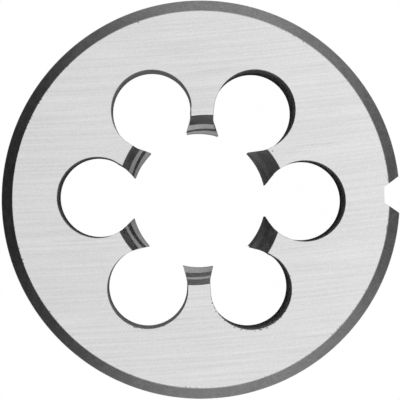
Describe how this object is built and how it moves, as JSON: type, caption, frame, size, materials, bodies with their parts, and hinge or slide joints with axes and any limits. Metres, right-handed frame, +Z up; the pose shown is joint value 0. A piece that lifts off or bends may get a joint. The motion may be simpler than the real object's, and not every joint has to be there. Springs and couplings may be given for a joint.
{
  "type": "round threading die",
  "caption": "Round solid threading die with chip holes around a threaded bore, lead cones in both faces, and a V notch and screw dimples in its rim.",
  "frame": {"origin": "on the die's axis in its lower face", "axes": "+Z up the die's axis, +X through the middle of the chip hole nearest the notch, +Y towards the side that the notch is turned to"},
  "size_m": [0.055, 0.055, 0.022],
  "materials": {
    "tool_steel": "ground"
  },
  "bodies": {
    "root": {"die_body": "tool_steel"}
  },
  "joints": []
}
